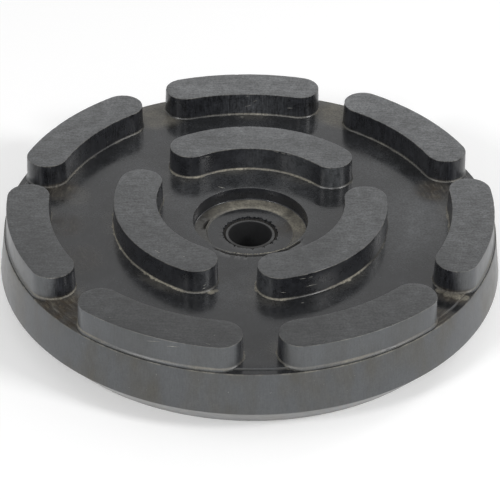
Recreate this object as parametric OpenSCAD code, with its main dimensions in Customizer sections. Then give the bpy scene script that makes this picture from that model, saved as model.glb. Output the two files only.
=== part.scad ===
// Round moulded rubber pad for the arm of a vehicle lift.
// A plate carries two rings of raised grip blocks around a recessed screw hole.
// Millimetres, +Z up, origin at the centre of the flat underside.

/* [Plate] */
// Widest diameter of the pad, where the wall meets the bevel
pad_diameter = 150; // [130:1:180]
// Thickness from the underside to the surface between the blocks
plate_thickness = 21.6; // [18:0.1:30]
// How far the side wall leans inwards from its widest place to the rim
wall_lean = 1.6; // [0:0.1:3]
// Height of the bevel between the wall and the underside
bevel_height = 8.2; // [2:0.1:12]
// How far the bevel runs inwards under the wall
bevel_depth = 7.2; // [2:0.1:10]
// Width of the narrow ledge outside the outer blocks
ledge_width = 0.7; // [0.4:0.1:3]
// Drop from the surface between the blocks to the ledge
ledge_drop = 0.6; // [0.2:0.1:0.9]
// How far that drop lies behind the outer faces of the outer blocks
ledge_setback = 1.4; // [0.2:0.1:2]

/* [Grip blocks] */
// Height of every block above the plate
block_height = 7.5; // [3:0.5:14]
// How far each block side spreads from its top down to its sunk foot
block_draft = 0.3; // [0:0.1:1]
// Size of the broken edge around the block tops
block_edge = 0.4; // [0.1:0.1:1]

/* [Outer ring of blocks] */
// Number of blocks around the rim
outer_count = 7; // [4:1:7]
// Width of an outer block across its top
outer_width = 12.5; // [8:0.5:15]
// Angle between the centres of an outer block's round ends
outer_arc = 32; // [16:1:34]
// Turn of the first outer block from the X axis
outer_turn = 92.9; // [0:0.1:360]

/* [Inner ring of blocks] */
// Number of blocks around the recess
inner_count = 3; // [1:1:3]
// Diameter of the circle that the inner blocks are bent along
inner_ring_diameter = 68.7; // [62:0.1:74]
// Width of an inner block across its top
inner_width = 12.7; // [8:0.1:15]
// Angle between the centres of an inner block's round ends
inner_arc = 78.5; // [30:0.5:88]
// Turn of the first inner block from the X axis
inner_turn = 83.7; // [0:0.1:360]

/* [Recess and hole] */
// Diameter of the recess that takes the screw head
recess_diameter = 34.4; // [32:0.2:40]
// Depth of the recess below the surface between the blocks
recess_depth = 4.6; // [2:0.1:8]
// Width of the raised ring around the recess floor
floor_ring_width = 4; // [2:0.1:4.5]
// Height of that ring above the recess floor
floor_ring_rise = 0.4; // [0.1:0.1:1]
// Diameter of the through hole
hole_diameter = 13; // [8:0.5:15]
// Width of the moulded lip around the hole
lip_width = 0.9; // [0.4:0.1:1.5]
// Width of the thin groove around the lip
groove_width = 0.7; // [0.4:0.1:1.5]
// How far the top of the lip lies below the recess floor
lip_drop = 0.5; // [0.1:0.1:0.6]
// Depth of the thin groove around the lip, from the recess floor
groove_depth = 0.9; // [0.7:0.1:1.5]

/* [Hidden] */
$fn = 96;

// How far a block's foot is sunk into the plate, so that the two are one solid
sink = 1;
wall_radius = pad_diameter / 2;
foot_radius = wall_radius - bevel_depth;
rim_radius = wall_radius - wall_lean;
block_limit = rim_radius - ledge_width;
step_radius = block_limit - ledge_setback;
recess_radius = recess_diameter / 2;
recess_floor = plate_thickness - recess_depth;
ring_top = recess_floor + floor_ring_rise;
ring_inner = recess_radius - floor_ring_width;
hole_radius = hole_diameter / 2;
groove_inner = hole_radius + lip_width;
groove_outer = groove_inner + groove_width;
outer_centre = block_limit - block_draft - outer_width / 2;
inner_centre = inner_ring_diameter / 2;

// Half of the plate's cross-section, from the hole out to the wall
module plate_section() {
    polygon([
        [hole_radius, 0],
        [foot_radius, 0],
        [wall_radius, bevel_height],
        [rim_radius, plate_thickness - ledge_drop],
        [step_radius, plate_thickness - ledge_drop],
        [step_radius, plate_thickness],
        [recess_radius, plate_thickness],
        [recess_radius, ring_top],
        [ring_inner, ring_top],
        [ring_inner, recess_floor],
        [groove_outer, recess_floor],
        [groove_outer, recess_floor - groove_depth],
        [groove_inner, recess_floor - groove_depth],
        [groove_inner, recess_floor - lip_drop],
        [hole_radius, recess_floor - lip_drop]
    ]);
}

// Right half of a block's cross-section, measured from the middle of its width
module half_block_section(width) {
    half = width / 2;
    polygon([
        [0, -sink],
        [half + block_draft, -sink],
        [half, block_height - block_edge],
        [half - block_edge, block_height],
        [0, block_height]
    ]);
}

module block_section(width) {
    half_block_section(width);
    mirror([1, 0]) half_block_section(width);
}

// A kidney-shaped block: a bent bar with a fully round end on both sides
module grip_block(centre, width, arc) {
    rotate([0, 0, -arc / 2])
        rotate_extrude(angle = arc)
            translate([centre, 0]) block_section(width);
    for (side = [0, 1])
        rotate([0, 0, (side - 0.5) * arc])
            translate([centre, 0, 0])
                rotate([0, 0, (side - 1) * 180])
                    rotate_extrude(angle = 180) half_block_section(width);
}

module block_ring(count, centre, width, arc, turn) {
    for (i = [0 : count - 1])
        rotate([0, 0, turn + i * 360 / count])
            translate([0, 0, plate_thickness]) grip_block(centre, width, arc);
}

module rubber_pad() {
    color("dimgray")
        union() {
            rotate_extrude() plate_section();
            block_ring(outer_count, outer_centre, outer_width, outer_arc, outer_turn);
            block_ring(inner_count, inner_centre, inner_width, inner_arc, inner_turn);
        }
}

rubber_pad();
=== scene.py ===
import bmesh
import bpy
import math
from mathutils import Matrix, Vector, noise


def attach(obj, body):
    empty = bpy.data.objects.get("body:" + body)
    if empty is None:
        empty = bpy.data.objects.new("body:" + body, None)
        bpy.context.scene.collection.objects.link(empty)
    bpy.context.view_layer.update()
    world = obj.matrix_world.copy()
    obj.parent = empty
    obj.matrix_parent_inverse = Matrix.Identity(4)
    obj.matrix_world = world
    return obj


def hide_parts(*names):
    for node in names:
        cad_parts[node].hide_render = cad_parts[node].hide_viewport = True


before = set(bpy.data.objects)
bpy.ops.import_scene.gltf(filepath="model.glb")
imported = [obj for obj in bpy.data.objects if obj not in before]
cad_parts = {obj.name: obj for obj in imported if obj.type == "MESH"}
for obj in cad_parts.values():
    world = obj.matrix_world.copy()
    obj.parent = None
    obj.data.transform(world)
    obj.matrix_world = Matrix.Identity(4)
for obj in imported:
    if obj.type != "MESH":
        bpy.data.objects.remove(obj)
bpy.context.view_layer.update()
scene = bpy.context.scene
mm = 0.001
print("frame loaded")


def linearColour(hexCode):
    # sRGB hex to the linear values that a shader socket takes
    parts = [int(hexCode[i:i + 2], 16) / 255 for i in (1, 3, 5)]
    return [p / 12.92 if p <= 0.04045 else ((p + 0.055) / 1.055) ** 2.4 for p in parts] + [1.0]


def addNode(tree, kind, inputs=None, **settings):
    # an input that is given a node takes that node's first output
    node = tree.nodes.new(kind)
    for name, value in settings.items():
        setattr(node, name, value)
    for key, value in (inputs or {}).items():
        if isinstance(value, bpy.types.Node):
            value = value.outputs[0]
        if isinstance(value, bpy.types.NodeSocket):
            tree.links.new(value, node.inputs[key])
        else:
            node.inputs[key].default_value = value
    return node


def meshObject(name, points, faces):
    mesh = bpy.data.meshes.new(name)
    mesh.from_pydata([Vector(p) * mm for p in points], [], faces)
    mesh.validate()
    thing = bpy.data.objects.new(name, mesh)
    scene.collection.objects.link(thing)
    return thing


def tidyMesh(mesh, gap=0.004 * mm):
    # merges the doubled points, drops what collapsed and turns every face outwards
    work = bmesh.new()
    work.from_mesh(mesh)
    bmesh.ops.remove_doubles(work, verts=work.verts, dist=gap)
    bmesh.ops.dissolve_degenerate(work, edges=work.edges, dist=gap)
    bmesh.ops.recalc_face_normals(work, faces=work.faces)
    work.to_mesh(mesh)
    work.free()
    mesh.update()


def dropSparePoints(mesh):
    # takes out points in the middle of a straight cut edge: once the faces are cut into triangles,
    # such an edge would be shared by four of them
    work = bmesh.new()
    work.from_mesh(mesh)
    spare = [point for point in work.verts if len(point.link_edges) == 2]
    bmesh.ops.dissolve_verts(work, verts=spare)
    work.to_mesh(mesh)
    work.free()
    mesh.update()


def roundCorners(corners, steps=4):
    # corners are (across, up, radius) in mm; the list comes back as a smooth run of points
    path = []
    for i, (across, up, radius) in enumerate(corners):
        here = Vector((across, up))
        if radius == 0:
            path.append((across, up))
            continue
        before = (Vector(corners[i - 1][:2]) - here).normalized()
        after = (Vector(corners[(i + 1) % len(corners)][:2]) - here).normalized()
        half = before.angle(after) / 2
        reach = radius / math.tan(half)
        centre = here + (before + after).normalized() * radius / math.sin(half)
        first = here + before * reach - centre
        last = here + after * reach - centre
        start = math.atan2(first.y, first.x)
        turn = (math.atan2(last.y, last.x) - start + math.pi) % (2 * math.pi) - math.pi
        for k in range(steps + 1):
            angle = start + turn * k / steps
            path.append((centre.x + radius * math.cos(angle), centre.y + radius * math.sin(angle)))
    return path


# Camera: the photo's own angle and focal length, found from the rim, the recess and the blocks
cameraSetup = {
    "place": (0.0, -543.88, 397.47),
    "aim": (0.02, -15.55, 21.6),
    "lens": 158.95,
    "roll": -0.846,
}
cameraData = bpy.data.cameras.new("photoCamera")
cameraData.lens = cameraSetup["lens"]
cameraData.sensor_width = 36
cameraData.clip_start = 0.01
camera = bpy.data.objects.new("photoCamera", cameraData)
place = Vector(cameraSetup["place"]) * mm
look = (Vector(cameraSetup["aim"]) * mm - place).to_track_quat("-Z", "Y").to_euler()
look.rotate_axis("Z", math.radians(-cameraSetup["roll"]))
camera.location = place
camera.rotation_euler = look
scene.collection.objects.link(camera)
scene.camera = camera
print("camera set")


# Plate: turned from one cross-section, with a torn groove around the hole
plateSetup = {
    "wall": 75.0,
    "foot": 67.8,
    "bevel": 8.2,
    "rim": 73.4,
    "step": 71.3,
    "thickness": 21.6,
    "ledge": 21.0,
    "recess": 17.2,
    "floor": 17.0,
    "floorRing": 13.2,
    "floorRingRise": 0.4,
    "hole": 6.5,
    "lip": 7.4,
    "lipDrop": 0.5,
    "groove": 8.1,
    "grooveDepth": 0.9,
    "turns": 370,
    "tear": 0.55,
    # a fin of torn skin left by the mould along part of the recess rim, and a hollow beside it
    "finFrom": -128.0,
    "finTo": -28.0,
    "finHeight": 0.25,
    "finRadius": 17.8,
    "creaseRadius": 18.3,
    "creaseDepth": 0.9,
    "pitAngle": 165.0,
    "pitRadius": 14.1,
    "pitReach": 12.0,
    "pitDepth": 0.9,
}


def platePath(s):
    # (radius, height, corner radius) once around the solid section
    ringTop = s["floor"] + s["floorRingRise"]
    corners = [
        (s["hole"], 0, 0.3),
        (s["foot"], 0, 0.5),
        (s["wall"], s["bevel"], 0.35),
        (s["rim"], s["ledge"], 0.3),
        (s["step"], s["ledge"], 0.15),
        (s["step"], s["thickness"], 0.2),
        (s["creaseRadius"] + 0.6, s["thickness"], 0),
        (s["creaseRadius"] + 0.25, s["thickness"], 0),
        (s["creaseRadius"], s["thickness"], 0),
        (s["creaseRadius"] - 0.25, s["thickness"], 0),
        (s["finRadius"] + 0.12, s["thickness"], 0),
        (s["finRadius"], s["thickness"], 0),
        (s["finRadius"] - 0.2, s["thickness"], 0),
        (s["recess"], s["thickness"], 0.12),
        (s["recess"], ringTop, 0.35),
        (s["pitRadius"] + 0.6, ringTop, 0),
        (s["pitRadius"] + 0.3, ringTop, 0),
        (s["pitRadius"], ringTop, 0),
        (s["pitRadius"] - 0.3, ringTop, 0),
        (s["pitRadius"] - 0.6, ringTop, 0),
        (s["floorRing"], ringTop, 0.25),
        (s["floorRing"] - 0.25, s["floor"], 0.12),
        (s["floorRing"] - 0.9, s["floor"], 0),
        (s["groove"], s["floor"], 0.1),
        (s["groove"] - 0.1, s["floor"] - s["grooveDepth"], 0.1),
        (s["lip"] + 0.1, s["floor"] - s["grooveDepth"], 0.1),
        (s["lip"], s["floor"] - s["lipDrop"], 0.12),
        (s["hole"], s["floor"] - s["lipDrop"], 0.2),
    ]
    path = []
    rounded = roundCorners(corners)
    for here, after in zip(rounded, rounded[1:] + rounded[:1]):
        path.append(here)
        length = math.dist(here, after)
        pieces = max(1, round(length / 2.2))
        for k in range(1, pieces):
            path.append(
                (here[0] + (after[0] - here[0]) * k / pieces, here[1] + (after[1] - here[1]) * k / pieces)
            )
    return path


def tornSkin(s, radius, height, angle):
    # moves a point of the plate where the mould has torn the skin: groove, rim fin and pit
    c, t = math.cos(angle), math.sin(angle)
    ragged = noise.noise(Vector((c * 9, t * 9, 3.1))) + 0.7 * noise.noise(Vector((c * 31, t * 31, 7.7)))
    fine = noise.noise(Vector((c * 60, t * 60, 1.3)))
    if height < s["floor"] + 0.1 and radius < 10:
        near = max(0.0, 1 - abs(radius - s["groove"]) / 0.7)
        return radius + s["tear"] * near * (ragged + 0.35), height
    degrees = math.degrees(angle) - 360 if angle > math.pi else math.degrees(angle)
    fade = min(1.0, max(0.0, (degrees - s["finFrom"]) / 25), max(0.0, (s["finTo"] - degrees) / 25))
    if fade > 0 and height > s["thickness"] - 0.15:
        onFin = max(0.0, 1 - abs(radius - s["finRadius"]) / 0.25)
        inCrease = max(0.0, 1 - abs(radius - s["creaseRadius"]) / 0.4)
        height += fade * (
            onFin * s["finHeight"] * (0.8 + 1.1 * fine) - inCrease * s["creaseDepth"] * (0.9 + 0.8 * ragged)
        )
        radius += fade * onFin * 0.12 * ragged
    aside = abs((math.degrees(angle) - s["pitAngle"] + 180) % 360 - 180) / s["pitReach"]
    if aside < 1 and height < s["floor"] + s["floorRingRise"] + 0.1 and abs(radius - s["pitRadius"]) < 0.7:
        height -= s["pitDepth"] * (1 - aside ** 2) * (1 - abs(radius - s["pitRadius"]) / 0.7)
    return radius, height


def buildPlate(s):
    path = platePath(s)
    points, faces = [], []
    for i in range(s["turns"]):
        angle = 2 * math.pi * i / s["turns"]
        c, t = math.cos(angle), math.sin(angle)
        for radius, height in path:
            if height > 1:
                radius, height = tornSkin(s, radius, height, angle)
            points.append((radius * c, radius * t, height))
    n = len(path)
    for i in range(s["turns"]):
        j = (i + 1) % s["turns"]
        for k in range(n):
            m = (k + 1) % n
            faces.append((i * n + k, i * n + m, j * n + m, j * n + k))
    plate = meshObject("plate", points, faces)
    tidyMesh(plate.data)
    return plate


plate = buildPlate(plateSetup)
print("plate turned:", len(plate.data.polygons), "faces")


# Grip blocks: one kidney-shaped block each, then the ring is laid out by the geometry nodes below
blockSetup = {
    "top": 29.01,
    "sunk": 20.3,
    "draft": 0.3,
    "edge": 0.16,
    "foot": 0.35,
    "acrossStep": 0.56,
    "wear": 0.08,
}
outerRing = {
    "name": "outerBlocks", "centre": 66.15, "width": 12.5, "arc": 32.0, "count": 7, "turn": 92.9,
    "seed": 4.0
}
innerRing = {
    "name": "innerBlocks", "centre": 34.35, "width": 12.7, "arc": 78.5, "count": 3, "turn": 83.7,
    "seed": 11.0
}


def buildBlock(ring, s):
    half = ring["width"] / 2
    plateTop = plateSetup["thickness"]
    side = roundCorners([
        (0, s["sunk"], 0),
        (half + s["draft"] + s["foot"], s["sunk"], 0),
        (half + s["draft"] + s["foot"], plateTop - 0.1, 0),
        (half + s["draft"] * 0.9, plateTop + s["foot"], 0.5),
        (half, s["top"], s["edge"]),
        (0, s["top"], 0),
    ])
    path = []
    for here, after in zip(side, side[1:]):
        path.append(here)
        pieces = max(1, round(math.dist(here, after) / 1.3))
        for k in range(1, pieces):
            path.append(
                (here[0] + (after[0] - here[0]) * k / pieces, here[1] + (after[1] - here[1]) * k / pieces)
            )
    path.append(side[-1])
    arc = math.radians(ring["arc"])
    along = round(ring["centre"] * arc / s["acrossStep"])
    around = round(math.pi * half / s["acrossStep"])
    # each station holds the place along the bend and the direction in which the outline looks
    stations = [(-arc / 2 + arc * k / along, -arc / 2 + arc * k / along) for k in range(along)]
    stations += [(arc / 2, arc / 2 + math.pi * k / around) for k in range(around)]
    stations += [(arc / 2 - arc * k / along, arc / 2 - arc * k / along + math.pi) for k in range(along)]
    stations += [(-arc / 2, -arc / 2 + math.pi + math.pi * k / around) for k in range(around)]
    points = []
    for bend, facing in stations:
        for out, height in path:
            points.append((
                ring["centre"] * math.cos(bend) + out * math.cos(facing),
                ring["centre"] * math.sin(bend) + out * math.sin(facing),
                height,
            ))
    n, m = len(path), len(stations)
    faces = []
    for i in range(m):
        j = (i + 1) % m
        for k in range(n - 1):
            faces.append((i * n + k, j * n + k, j * n + k + 1, i * n + k + 1))
    block = meshObject(ring["name"], points, faces)
    tidyMesh(block.data)
    edgeMark = block.data.attributes.new("edgeMark", "FLOAT", "POINT")
    for vertex, mark in zip(block.data.vertices, edgeMark.data):
        mark.value = 1.0 if vertex.co.z > (s["top"] - 1.2) * mm and vertex.co.z < (
            s["top"] + 0.01
        ) * mm else 0.0
    return block


def blockRingTree():
    # copies one block around the middle, then roughens the copies so that no two are alike
    tree = bpy.data.node_groups.new("blockRing", "GeometryNodeTree")
    for name, kind in (
            ("Block", "NodeSocketGeometry"), ("Count", "NodeSocketInt"), ("Turn", "NodeSocketFloat"),
                       ("Wear", "NodeSocketFloat"), ("Seed", "NodeSocketFloat"),
                       ("Finish", "NodeSocketMaterial")):
        tree.interface.new_socket(name, in_out="INPUT", socket_type=kind)
    tree.interface.new_socket("Ring", in_out="OUTPUT", socket_type="NodeSocketGeometry")
    given = addNode(tree, "NodeGroupInput").outputs
    seats = addNode(tree, "GeometryNodePoints", {"Count": given["Count"]})
    number = addNode(tree, "GeometryNodeInputIndex")
    share = addNode(tree, "ShaderNodeMath", {0: number, 1: given["Count"]}, operation="DIVIDE")
    angle = addNode(
        tree, "ShaderNodeMath", {0: share, 1: 2 * math.pi, 2: given["Turn"]}, operation="MULTIPLY_ADD"
    )
    spin = addNode(tree, "FunctionNodeAxisAngleToRotation", {"Axis": (0, 0, 1), "Angle": angle})
    laid = addNode(tree, "GeometryNodeInstanceOnPoints",
                   {"Points": seats.outputs["Points"], "Instance": given["Block"], "Rotation": spin})
    solid = addNode(tree, "GeometryNodeRealizeInstances", {"Geometry": laid})
    position = addNode(tree, "GeometryNodeInputPosition")
    grain = addNode(tree, "ShaderNodeTexNoise",
        {"Vector": position, "W": given["Seed"], "Scale": 900.0, "Detail": 2.0},
                    noise_dimensions="4D")
    centred = addNode(tree, "ShaderNodeMath", {0: grain, 1: 0.5}, operation="SUBTRACT")
    chips = addNode(tree, "ShaderNodeTexNoise",
        {"Vector": position, "W": given["Seed"], "Scale": 420.0, "Detail": 3.0},
                    noise_dimensions="4D")
    deep = addNode(tree, "ShaderNodeMapRange",
                   {"Value": chips, "From Min": 0.6, "From Max": 0.75, "To Min": 0.0, "To Max": -2.2})
    edge = addNode(tree, "GeometryNodeInputNamedAttribute", {"Name": "edgeMark"}, data_type="FLOAT")
    chipped = addNode(tree, "ShaderNodeMath", {0: deep, 1: edge}, operation="MULTIPLY")
    rough = addNode(tree, "ShaderNodeMath", {0: centred, 1: chipped}, operation="ADD")
    amount = addNode(tree, "ShaderNodeMath", {0: rough, 1: given["Wear"]}, operation="MULTIPLY")
    normal = addNode(tree, "GeometryNodeInputNormal")
    shift = addNode(tree, "ShaderNodeVectorMath", {0: normal, "Scale": amount}, operation="SCALE")
    worn = addNode(tree, "GeometryNodeSetPosition", {"Geometry": solid, "Offset": shift.outputs["Vector"]})
    finished = addNode(tree, "GeometryNodeSetMaterial", {"Geometry": worn, "Material": given["Finish"]})
    addNode(tree, "NodeGroupOutput", {"Ring": finished})
    return tree


def runTree(thing, tree, values):
    # sets the named inputs by identifier, then freezes the result into a plain mesh of the same name
    modifier = thing.modifiers.new(tree.name, "NODES")
    modifier.node_group = tree
    for item in tree.interface.items_tree:
        if item.item_type == "SOCKET" and item.in_out == "INPUT" and item.name in values:
            modifier[item.identifier] = values[item.name]
    freeze(thing)


def freeze(thing):
    # replaces the object's mesh by its evaluated one and clears the modifiers
    evaluated = thing.evaluated_get(bpy.context.evaluated_depsgraph_get())
    result = bpy.data.meshes.new_from_object(evaluated)
    thing.modifiers.clear()
    thing.data = result


rubber = bpy.data.materials.new("mouldedRubber")
ringTree = blockRingTree()
rings = []
for ring in (outerRing, innerRing):
    block = buildBlock(ring, blockSetup)
    runTree(block, ringTree, {
        "Count": ring["count"], "Turn": math.radians(ring["turn"]), "Wear": blockSetup["wear"] * mm,
        "Seed": ring["seed"], "Finish": rubber,
    })
    rings.append(block)
    print(ring["name"], "laid out:", len(block.data.polygons), "faces")

# The pad is moulded in one piece, so plate and blocks are joined into one closed mesh
for ring in rings:
    union = plate.modifiers.new("moulded", "BOOLEAN")
    union.operation = "UNION"
    union.solver = "MANIFOLD"
    union.object = ring
freeze(plate)
dropSparePoints(plate.data)
for ring in rings:
    bpy.data.objects.remove(ring)
pad = plate
pad.name = "rubberPad"
pad.data.materials.clear()
pad.data.materials.append(rubber)
pad.data.shade_smooth()
pad.data.set_sharp_from_angle(angle=math.radians(38))
print("pad joined:", sum(len(face.vertices) - 2 for face in pad.data.polygons), "triangles")


# Moulded black rubber: glossy black where nothing touches it, greyer and duller where it is worn or where wax
# has bloomed out of it, with tan dust caught round the feet of the blocks. The colour also carries painted
# light: painted reflection and sheen on the outward faces, on parts of the plate, on the inner walls and on
# the bevel; worn tops painted lighter towards the back; a painted highlight along the feet and the top edges;
# and painted shade in the hollows and the hole
rubberSetup = {
    "blackSkin": "#202123",
    "wallSkin": "#222326",
    "wornTop": "#424344",
    # grey of the wax bloom, also used for painted reflection and painted sheen
    "bloomAndSheen": "#4d4f51",
    "oldBloomAndSheen": "#4e4b43",
    "tanDust": "#79756a",
    # pale rub, also used for the painted reflection on the bevel and the painted highlight on the top edges
    "paleRubAndPaintedLight": "#8d897d",
    "brownDirt": "#2b241b",
    # painted shade in the hollows, with dirt on the ledge
    "shadeAndDirt": "#151310",
    # painted shade inside the hole
    "paintedHoleShade": "#0b0c0e",
    "skinRoughness": 0.13,
    "wallRoughness": 0.28,
    "wornRoughness": 0.45,
    "bloomRoughness": 0.36,
    "ior": 1.49,
    "grainSize": 0.55,
    "mottleSize": 3.6,
    "patchSize": 17.0,
    "scratchSpacing": 0.35,
    "grainDepth": 0.012,
    "dirtSpots": [
        # across, along, reach, amount: mm on the plate
        (-54.5, -44.5, 10.5, 1.0), (-49.6, -52.0, 5.0, 1.0), (58.5, -35.5, 6.5, 0.9), (54.0, -46.5, 6.0, 0.8),
        (25.2, 66.0, 9.0, 0.3), (-36.0, 60.0, 7.0, 0.35), (-58.5, 14.5, 8.0, 0.6), (56.0, 17.0, 8.0, 0.8),
        (-50.0, -22.0, 10.0, 0.3), (-55.0, -4.0, 8.0, 0.4), (2.0, -40.0, 8.0, 0.08),
        (12.0, 2.4, 6.5, 0.6),
    ],
    "dustSpots": [
        (-11.0, -36.5, 1.5, 0.80), (-9.6, -35.9, 1.0, 0.50), (-5.1, -70.2, 1.8, 0.80),
        (11.2, -69.6, 1.6, 0.70), (13.1, -70.4, 1.3, 0.60),
        (-53.7, 11.4, 7.0, 0.08), (-31.0, 60.0, 12.0, 0.45), (29.5, 61.0, 11.0, 0.45),
        (54.7, -34.2, 1.7, 0.6), (56.9, -35.8, 1.9, 0.7), (59.4, -37.0, 1.9, 0.7), (61.7, -36.7, 1.7, 0.6),
        (57.9, 54.3, 2.0, 0.4),
    ],
    # painted highlights: grey spots on the inner walls of the blocks, where lamp light is reflected
    "paintedWallSheen": [
        (25.6, 17.1, 6.0, 0.9), (15.0, 25.0, 9.0, 0.4), (2.0, 27.5, 9.0, 0.25), (2.0, 59.5, 18.0, 0.3),
        (-12.5, -36.0, 5.0, 0.35), (4.5, -37.5, 5.0, 0.35),
    ],
    # haze spots on the plate: part wax bloom, part painted sheen
    "hazeAndSheenSpots": [
        (0.0, 20.0, 62.0, 0.24), (52.0, 0.0, 30.0, 0.75), (37.0, 30.0, 17.0, 0.3), (-22.0, 9.0, 12.0, 0.42),
        (-4.0, -34.0, 15.0, 0.2),
        (-34.0, 30.0, 16.0, 0.2), (20.0, 53.0, 14.0, 0.2), (30.0, -42.0, 14.0, 0.12),
        (-52.0, 6.0, 14.0, 0.12),
    ],
}


def blockGapTree():
    # how far a point lies outside the bent outlines of one ring of blocks, in mm
    tree = bpy.data.node_groups.new("blockGap", "ShaderNodeTree")
    for name in ("Radius", "Angle", "Turn", "Sector", "Half Arc", "Centre", "Half Width"):
        tree.interface.new_socket(name, in_out="INPUT", socket_type="NodeSocketFloat")
    tree.interface.new_socket("Gap", in_out="OUTPUT", socket_type="NodeSocketFloat")
    given = addNode(tree, "NodeGroupInput").outputs
    back = addNode(tree, "ShaderNodeMath", {0: given["Sector"], 1: -1.0}, operation="MULTIPLY")
    turned = addNode(tree, "ShaderNodeMath", {0: given["Angle"], 1: given["Turn"]}, operation="SUBTRACT")
    folded = addNode(tree, "ShaderNodeMath", {0: turned, 1: given["Sector"], 2: back}, operation="WRAP")
    aside = addNode(tree, "ShaderNodeMath", {0: folded}, operation="ABSOLUTE")
    past = addNode(tree, "ShaderNodeMath", {0: aside, 1: given["Half Arc"]}, operation="SUBTRACT")
    beyond = addNode(tree, "ShaderNodeMath", {0: past, 1: 0.0}, operation="MAXIMUM")
    cosine = addNode(tree, "ShaderNodeMath", {0: beyond}, operation="COSINE")
    product = addNode(tree, "ShaderNodeMath", {0: given["Radius"], 1: given["Centre"]}, operation="MULTIPLY")
    twice = addNode(tree, "ShaderNodeMath", {0: product, 1: -2.0}, operation="MULTIPLY")
    centreSquared = addNode(
        tree, "ShaderNodeMath", {0: given["Centre"], 1: given["Centre"]}, operation="MULTIPLY"
    )
    squares = addNode(
        tree, "ShaderNodeMath", {0: given["Radius"], 1: given["Radius"], 2: centreSquared},
        operation="MULTIPLY_ADD"
    )
    apart = addNode(tree, "ShaderNodeMath", {0: cosine, 1: twice, 2: squares}, operation="MULTIPLY_ADD")
    safe = addNode(tree, "ShaderNodeMath", {0: apart, 1: 0.0}, operation="MAXIMUM")
    away = addNode(tree, "ShaderNodeMath", {0: safe}, operation="SQRT")
    gap = addNode(tree, "ShaderNodeMath", {0: away, 1: given["Half Width"]}, operation="SUBTRACT")
    addNode(tree, "NodeGroupOutput", {"Gap": gap})
    return tree


def spread(tree, flat, spots, core):
    # one value that is full inside the core of each spot and fades to nothing at its reach
    total = None
    for across, along, reach, amount in spots:
        away = addNode(tree, "ShaderNodeVectorMath", {0: flat, 1: (across, along, 0)}, operation="DISTANCE")
        spot = addNode(
            tree, "ShaderNodeMapRange",
            {"Value": away.outputs["Value"], "From Min": reach, "From Max": reach * core, "To Max": amount},
            interpolation_type="SMOOTHSTEP"
        )
        total = spot if total is None else addNode(
            tree, "ShaderNodeMath", {0: total, 1: spot}, operation="MAXIMUM"
        )
    return total


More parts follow.
